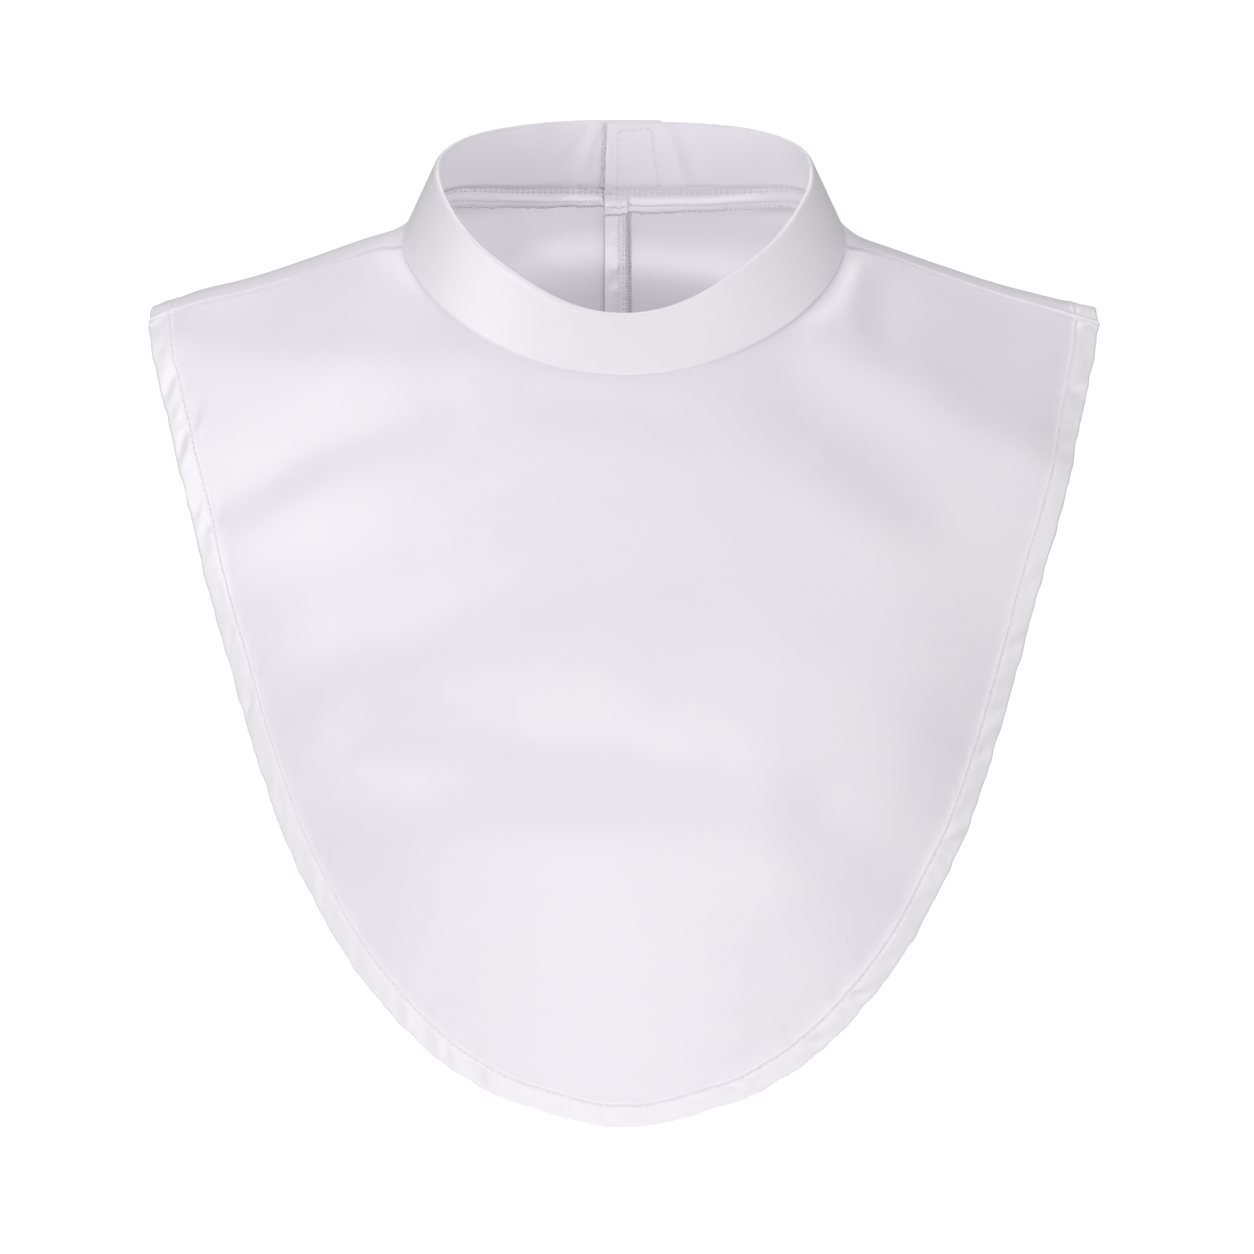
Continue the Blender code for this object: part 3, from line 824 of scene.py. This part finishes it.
def sewn(name, paths, pitch=STITCH_PITCH, length=STITCH_LENGTH, thickness=THREAD, slant=0.0, uneven=0.09):
    """Stitches along each path, a row of points with the ways out of the cloth there."""
    points = np.concatenate([points for points, _ in paths])
    ways = np.concatenate([ways for _, ways in paths])
    edges, first = [], 0
    for row, _ in paths:
        edges += [(first + k, first + k + 1) for k in range(len(row) - 1)]
        first += len(row)
    data = bpy.data.meshes.new(name + "_paths")
    data.from_pydata(points.tolist(), edges, [])
    out = data.attributes.new("out", "FLOAT_VECTOR", "POINT")
    out.data.foreach_set("vector", ways.astype(np.float32).ravel())
    row = new_object(name + "_paths", data)
    modifier = row.modifiers.new("stitches", "NODES")
    modifier.node_group = stitch_row
    values = {"Pitch": pitch, "Length": length, "Thickness": thickness, "Slant": slant, "Unevenness": uneven}
    values |= {"Thread": thread, "Hole_Shade": needle_hole_shade}
    for socket in stitch_row.interface.items_tree:
        if socket.in_out == "INPUT" and socket.name in values:
            modifier[socket.identifier] = values[socket.name]
    evaluated = row.evaluated_get(bpy.context.evaluated_depsgraph_get())
    piece = new_object(name, bpy.data.meshes.new_from_object(evaluated))
    bpy.data.objects.remove(row)
    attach(piece, "root")
    return piece


HEM_ROW = len(BODY_SHARES) + int(np.argmin(abs(HEM_ROWS - HEM_STITCH)))
THREAD_DEPTH = 0.12 * MM  # of the middle of the thread, above the dent


def both_faces(outside, inside, ways):
    """The row of stitches along a line of the cloth, as it shows on each face."""
    return [(outside + ways * THREAD_DEPTH, ways), (inside - ways * THREAD_DEPTH, -ways)]


front_hem_line = [net[:, HEM_ROW] for net in (front_out, front_in, front_ways)]
front_stitches = sewn("front_topstitching", both_faces(*front_hem_line))
END_COLUMN = int(np.argmin(abs(END_COLUMNS - END_STITCH))) - len(END_COLUMNS)
END_STITCH_START = 3  # rows below the neck seam
back_stitches = []
for name, *nets in (
    ("left_topstitching", left_out, left_in, left_ways),
    ("right_topstitching", right_out, right_in, right_ways),
):
    hem_stitches = both_faces(*(net[:, HEM_ROW] for net in nets))
    end_stitches = both_faces(*(net[END_COLUMN, END_STITCH_START : HEM_ROW + 1] for net in nets))
    back_stitches.append([sewn(name, hem_stitches + end_stitches)])


# COLLAR. A stand of double twill, a curved strip folded along its top edge. Its ends lap at the centre
# back, the left one inside, and pull into small creases there.
COLLAR_CLOTH = 2.0 * MM
COLLAR_HEIGHT = 28 * MM
COLLAR_COLUMNS = 430
COLLAR_LEVELS = [0, 0.012, 0.03, 0.05, *np.linspace(0.08, 0.9, 26), 0.925, 0.945, 0.96, 0.97]
COLLAR_RADIUS = 65 * MM  # about its middle, for what is measured round it
COLLAR_END_COLUMNS = np.array([0.12, 0.3, 0.55, 0.9]) * MM  # from each end
COLLAR_END_ROUNDING = 1 * MM
COLLAR_END_THINNING = 0.92
COLLAR_TUCK = 0.6 * MM  # into the neck seam, outside
FOLD_DENT = 0.12 * MM
FOLD_DENT_PLACE = 3 * MM  # below the folded edge
DENT_WIDTH = 0.6 * MM
COLLAR_WAVE = 0.25 * MM
COLLAR_WAVE_LENGTH = 130 * MM
COLLAR_WAVE_RADIUS = 68 * MM
COLLAR_WAVE_SLANT = 9 * MM  # from its seam to its top edge
COLLAR_CREASES = (
    # side, x and level at the start and at the end, width, height
    (1, 17, 0.95, 23, 0.3, 2.6, -0.6),
    (1, 22, 0.92, 30, 0.2, 3.4, 0.6),
    (1, 36, 0.8, 48, 0.2, 7, -0.6),
    (-1, -11, 0.93, -19, 0.1, 2.2, -0.7),
    (-1, -13.5, 0.9, -27, 0.12, 3.4, 0.9),
    (-1, -34, 0.85, -43, 0.25, 6, -0.6),
)


def collar_lift(turn, level):
    """How far the collar stands out of its even ring, in a soft wave and in the creases by its lap."""
    x = ring_edge(turn, level)[..., 0]
    along_wave = COLLAR_WAVE_RADIUS * turn + COLLAR_WAVE_SLANT * level
    lift = COLLAR_WAVE * wander(along_wave, COLLAR_WAVE_LENGTH, seed=1.0)
    for side, x1, level1, x2, level2, width, rise in COLLAR_CREASES:
        way = np.array([(x2 - x1) * MM, (level2 - level1) * COLLAR_HEIGHT])
        length = np.hypot(*way)
        right, up = x - x1 * MM, (level - level1) * COLLAR_HEIGHT
        along = (right * way[0] + up * way[1]) / length
        across = (right * way[1] - up * way[0]) / length
        past = np.maximum(np.maximum(-along, along - length), 0)
        here = (np.sign(turn) == side) & (abs(turn) > np.pi / 2)
        lift = lift + here * rise * MM * bump(across, width * MM) * bump(past, width * MM)
    return lift


def ring_way(turn, level):
    """Ways out of the collar, square to it."""
    along = ring(turn + TURN_STEP, level) - ring(turn - TURN_STEP, level)
    up = ring_edge(turn, level + 0.01) - ring_edge(turn, level - 0.01)
    return unit(np.cross(along, up))


collar_turns = np.linspace(-turn_at(-RIGHT_REACH), turn_at(-LEFT_REACH), COLLAR_COLUMNS)
end_turns = COLLAR_END_COLUMNS / COLLAR_RADIUS
collar_turns = np.concatenate([collar_turns, collar_turns[0] + end_turns, collar_turns[-1] - end_turns])
collar_turns.sort()
collar_turn, collar_level = np.meshgrid(collar_turns, COLLAR_LEVELS, indexing="ij")
collar_along = distances(ring(collar_turns, 0.5))
collar_to_end = np.minimum(collar_along, collar_along[-1] - collar_along)
end_roundness = (1 - np.clip(collar_to_end / COLLAR_END_ROUNDING, 0, 1)) ** 2
from_top = (1 - collar_level) * COLLAR_HEIGHT
collar_half = COLLAR_CLOTH / 2 * np.sqrt(1 - COLLAR_END_THINNING * end_roundness)[:, None]
collar_half = collar_half - FOLD_DENT * bump(from_top - FOLD_DENT_PLACE, DENT_WIDTH)
collar_tuck = COLLAR_TUCK * bump(collar_level * COLLAR_HEIGHT, DENT_WIDTH)
lift = collar_lift(collar_turn, collar_level)
collar_place = np.stack([np.broadcast_to(collar_along[:, None], collar_level.shape), from_top], -1)
collar_twill = cloth_material("collar_twill", (0.83, 0.815, 0.86), (0.86, 0.845, 0.885), (0.90, 0.885, 0.92))
collar = cloth_piece(
    "collar_band",
    ring(collar_turn, collar_level, lift + collar_half - collar_tuck),
    ring(collar_turn, collar_level, lift - collar_half),
    {"cloth": collar_place, "edge": collar_place + [0, FAR_FROM_EDGE]},
    collar_twill,
)
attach(collar, "root")
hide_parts("collar_band")


BOX_SIDE_POINTS = 30
BOX_THREAD_DEPTH = 0.1 * MM


def collar_path(side, corners, face):
    """Path of stitches on the outer (1) or inner (-1) face of an end of the collar, through corners given
    as x in millimetres and level."""
    sides = [np.linspace(a, b, BOX_SIDE_POINTS) for a, b in zip(corners, corners[1:])]
    x, level = np.concatenate(sides).T
    turn = side * turn_at(side * x * MM)
    aside = collar_lift(turn, level) + face * (COLLAR_CLOTH / 2 + BOX_THREAD_DEPTH)
    return ring(turn, level, aside), face * ring_way(turn, level)


LEFT_BOX = ((-3, 0.03), (-3, 0.87), (12, 0.9), (14, 0.08), (17, 0.07))
RIGHT_BOX = ((-10, 0.1), (-10, 0.89), (14, 0.89), (14, 0.1), (-10, 0.1))
collar_stitches = sewn(
    "collar_stitching",
    [collar_path(1, LEFT_BOX, -1), collar_path(-1, RIGHT_BOX, -1), collar_path(-1, RIGHT_BOX, 1)],
)


# HOOK AND LOOP TAPES. Two patches of woven nylon tape between the lapped ends of the collar, the hooks on
# the inner end and the loops on the outer end. They are sewn on by the boxes above.
TAPE_CLOTH = 1.0 * MM
TAPE_LEVELS = np.linspace(0.1, 0.89, 24)
nylon, nylon_tree, nylon_shader = new_material("hook_and_loop_tape")
nylon_place = nylon_tree.nodes.new("ShaderNodeTexCoord")
tufts = nylon_tree.nodes.new("ShaderNodeTexVoronoi")
tufts.inputs["Scale"].default_value = 1100
nylon_tree.links.new(nylon_place.outputs["Object"], tufts.inputs["Vector"])
pile = tufts.outputs["Distance"]
nylon_tone = blend(nylon_tree, pile, (0.68, 0.68, 0.70), (0.84, 0.84, 0.86))
nylon_tree.links.new(nylon_tone, nylon_shader.inputs["Base Color"])
nylon_tree.links.new(maths(nylon_tree, "MULTIPLY_ADD", pile, -0.2, 0.7), nylon_shader.inputs["Roughness"])
raise_surface(nylon_tree, nylon_shader, pile, 1.0, 0.3 * MM)
nylon_shader.inputs["Sheen Weight"].default_value = 0.3
for name, side, first, last in (("hook_tape", 1, 12.5, -3), ("loop_tape", -1, 14, -10)):
    tape_x = np.linspace(first, last, 32) * MM
    turn, level = np.meshgrid(side * turn_at(side * tape_x), TAPE_LEVELS, indexing="ij")
    middle = side * ((COLLAR_CLOTH + TAPE_CLOTH) / 2 + SEAM_GAP)
    place = np.stack([np.broadcast_to(tape_x[:, None], level.shape), level * COLLAR_HEIGHT], -1)
    faces = [ring(turn, level, middle + half) for half in (TAPE_CLOTH / 2, -TAPE_CLOTH / 2)]
    tape = cloth_piece(name, *faces, {"cloth": place}, nylon)
    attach(tape, "root")
    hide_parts(name)


# NECK SEAM ALLOWANCE. The raw edges of the collar and the panels, trimmed, overlocked together and turned
# down inside. The edge is a little ragged, and it is wider beside the centre back on the wearer's left.
ALLOWANCE_CLOTH = 0.6 * MM
ALLOWANCE_WIDTH = 4 * MM  # below the seam
ALLOWANCE_RISE = 2.4 * MM  # up the collar's inner face
ALLOWANCE_EXTRA = 2.7 * MM  # at the left end, gone after this length:
ALLOWANCE_TAPER = 75 * MM
# Its rows, as shares of its width below the seam. Shares below 0 are up the collar
ALLOWANCE_SHARES = np.array([-0.6, -0.45, -0.3, -0.12, 0.1, 0.3, 0.5, 0.7, 0.86, 0.96, 1.0])
ALLOWANCE_END_GAP = 0.4 * MM
ALLOWANCE_ROWS = 16  # rows of the panels that lie behind it
RAGGED = ((0.4 * MM, 5.2 * MM, 0.7), (0.25 * MM, 31 * MM, 2.2))  # depth, length and seed of its edge's waves
COLLAR_GAP = 0.12 * MM
HANG = 0.42  # how far its edge stands off the panels, as a share of its width
HANG_CURVE = 1.3
under = np.concatenate([left_in[::-1], front_in[::-1], right_in])[:, :ALLOWANCE_ROWS]
under_ways = np.concatenate([left_ways[::-1], front_ways[::-1], right_ways])[:, :ALLOWANCE_ROWS]
under_turns = np.concatenate([left_turns[::-1], front_turns[::-1], right_turns])
clear = np.ones(len(under), bool)
clear[-len(right_in) :] = right_in[:, 0, 0] < -LEFT_REACH - ALLOWANCE_END_GAP
under, under_ways, under_turns = under[clear], under_ways[clear], under_turns[clear]
round_neck = distances(under[:, 0])
width = ALLOWANCE_WIDTH + ALLOWANCE_EXTRA * ease(1 - round_neck / ALLOWANCE_TAPER)
width = width + sum(depth * wander(round_neck, longest, seed) for depth, longest, seed in RAGGED)


def down_column(shares, depth):
    """Points of the allowance at shares of its width and a depth inside it, with the ways out. Shares
    below 0 are up the collar."""
    points, ways = [], []
    for column, column_ways, wide in zip(under, under_ways, width):
        down = distances(column)
        points.append(rows_at(shares * wide, down, *column.T))
        ways.append(rows_at(shares * wide, down, *column_ways.T))
    points, ways = np.array(points), unit(np.array(ways))
    lifted = SEAM_GAP + HANG * width[:, None] * np.maximum(shares, 0) ** HANG_CURVE + depth
    points = points - ways * lifted[..., None]
    turn, share = np.meshgrid(under_turns, shares, indexing="ij")
    level = share / ALLOWANCE_SHARES[0] * ALLOWANCE_RISE / COLLAR_HEIGHT
    ways = np.where(share[..., None] < 0, ring_way(turn, level), ways)
    on_collar = ring(turn, level, collar_lift(turn, level) - COLLAR_CLOTH / 2 - COLLAR_GAP - depth)
    return np.where(share[..., None] < 0, on_collar, points), ways


strip_down = width[:, None] * ALLOWANCE_SHARES
strip_place = np.stack([np.broadcast_to(round_neck[:, None], strip_down.shape), strip_down], -1)
overlocked = cloth_material("overlocked_edge", (0.80, 0.785, 0.83), (0.86, 0.845, 0.885), (0.88, 0.88, 0.9))
allowance = cloth_piece(
    "neck_seam_allowance",
    down_column(ALLOWANCE_SHARES, 0)[0],
    down_column(ALLOWANCE_SHARES, ALLOWANCE_CLOTH)[0],
    {"cloth": strip_place, "edge": strip_place + [0, FAR_FROM_EDGE]},
    overlocked,
)
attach(allowance, "root")
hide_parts("neck_seam_allowance")


LOOP_PITCH = 1.25 * MM


def overlock(name, net, ways, widths):
    """Threads of an overlocked edge: two rows of needle stitches, slanted loops over the cloth and a chain
    along the edge. net has columns of four places, from the needle rows to the edge."""
    made = []
    for row, places, pitch, length, thickness, slant, uneven in (
        ("_needle", (0, 1), 2.3 * MM, 1.8 * MM, 0.5 * MM, 0.0, 0.09),
        ("_loops", (2,), LOOP_PITCH, widths, 0.42 * MM, 1.15, 0.22),
        ("_chain", (3,), LOOP_PITCH, 1.6 * MM, 0.75 * MM, -0.5, 0.45),
    ):
        paths = [(net[:, k], ways[:, k]) for k in places]
        made.append(sewn(name + row, paths, pitch, length, thickness, slant, uneven))
    return made


NECK_THREAD_SHARES = np.array([-0.45, -0.15, 0.5, 0.99])
threads_at, threads_ways = down_column(NECK_THREAD_SHARES, ALLOWANCE_CLOTH + THREAD_DEPTH)
neck_threads = overlock("neck_overlock", threads_at, -threads_ways, widths=2.7 * MM)


# OVERLOCKED EDGE AT THE CENTRE BACK. The raw edge of each turning is overlocked, and shows inside.
EDGE_PLACES = np.array([7.4, 8.0, 9.2, 10.4]) * MM  # from the centre edge
EDGE_THREAD_DEPTH = 0.15 * MM
edge_columns = [int(np.argmin(abs(END_COLUMNS - place))) - len(END_COLUMNS) for place in EDGE_PLACES]
edge_rows = slice(6, HEM_ROW - 2)  # from below the neck seam to above the hem's stitches
for side, back, width, area, inside, ways, on_panel in (
    ("left", left_back, 0.21, 0.05, left_in, left_ways, back_stitches[0]),
    ("right", right_back, 0.22, 0.052, right_in, right_ways, back_stitches[1]),
):
    net_ways = -ways[edge_columns, edge_rows].swapaxes(0, 1)
    net = inside[edge_columns, edge_rows].swapaxes(0, 1) + net_ways * EDGE_THREAD_DEPTH
    on_panel += overlock(side + "_edge_overlock", net, net_ways, widths=3.0 * MM)


# ROOM. A pale floor far below, soft light from all round, above and below, and the camera.
FLOOR_HEIGHT = -1.15
floor_mesh = bmesh.new()
bmesh.ops.create_grid(floor_mesh, x_segments=4, y_segments=4, size=40)
bmesh.ops.translate(floor_mesh, verts=floor_mesh.verts, vec=(0, 0, FLOOR_HEIGHT))
floor_data = bpy.data.meshes.new("floor")
floor_mesh.to_mesh(floor_data)
floor = new_object("floor", floor_data)
pale, pale_tree, pale_shader = new_material("pale_floor")
set_inputs(pale_shader, {"Roughness": 0.9, "Specular IOR Level": 0.1})
# The floor shows as bright as the photo's background, and lights the cloth only a little from below
set_inputs(pale_shader, {"Base Color": (0.4, 0.4, 0.4, 1), "Emission Color": (1, 1, 1, 1)})
pale_path = pale_tree.nodes.new("ShaderNodeLightPath")
pale_glow = maths(pale_tree, "MULTIPLY", pale_path.outputs["Is Camera Ray"], 0.97)
pale_tree.links.new(pale_glow, pale_shader.inputs["Emission Strength"])
floor_data.materials.append(pale)

world = bpy.data.worlds.new("studio")
world.use_nodes = True
set_inputs(world.node_tree.nodes["Background"], {"Color": (0.96, 0.965, 1, 1), "Strength": 0.28})
bpy.context.scene.world = world


LIT_POINT = Vector((0, 0, -0.12))
for name, place, size, power in (
    ("left", (-2.0, -1.5, 0.9), 1.6, 26),
    ("window", (-1.7, -0.9, 1.6), 1.0, 5),
    ("front", (0, -1.9, 1.3), 1.0, 4.5),
    ("right", (1.5, -1.8, 0.6), 1.4, 7.5),
    ("side", (2.2, -0.5, 0.4), 1.2, 8.5),
    ("behind", (0, 0.9, 1.9), 1.2, 15),
    ("low", (0, -1.6, -1.0), 1.4, 18),
    # A lamp under the hem lights the neck from within
    ("inside", (0, -0.03, -0.75), 0.25, 2.1),
):
    lamp = bpy.data.lights.new(name, "AREA")
    lamp.shape = "DISK"
    lamp.size = size
    lamp.energy = power
    lamp.color = (1, 0.98, 0.985)
    light = new_object(name, lamp)
    light.location = place
    light.rotation_euler = (LIT_POINT - Vector(place)).to_track_quat("-Z", "Y").to_euler()

ELEVATION = np.radians(12)
DISTANCE = 2.1  # of the camera from the point that it aims at
PIXEL = 0.383 * MM  # real size of a picture element at the middle of the neck
PHOTO_WIDTH = 1254  # in picture elements
ABOVE, ASIDE = -147 * MM, 1 * MM  # of that point, from the origin
camera_up = Vector((0, np.sin(ELEVATION), np.cos(ELEVATION)))
camera_back = Vector((0, -np.cos(ELEVATION), np.sin(ELEVATION)))
camera_data = bpy.data.cameras.new("camera")
camera_data.sensor_width = 36
camera_data.lens = camera_data.sensor_width * DISTANCE / (PHOTO_WIDTH * PIXEL)
camera = new_object("camera", camera_data)
aim = Vector((ASIDE, 0, 0)) + camera_up * ABOVE
axes = Matrix((Vector((1, 0, 0)), camera_up, camera_back)).transposed().to_4x4()
camera.matrix_world = Matrix.Translation(aim + camera_back * DISTANCE) @ axes
bpy.context.scene.camera = camera
bpy.context.scene.view_settings.view_transform = "Standard"
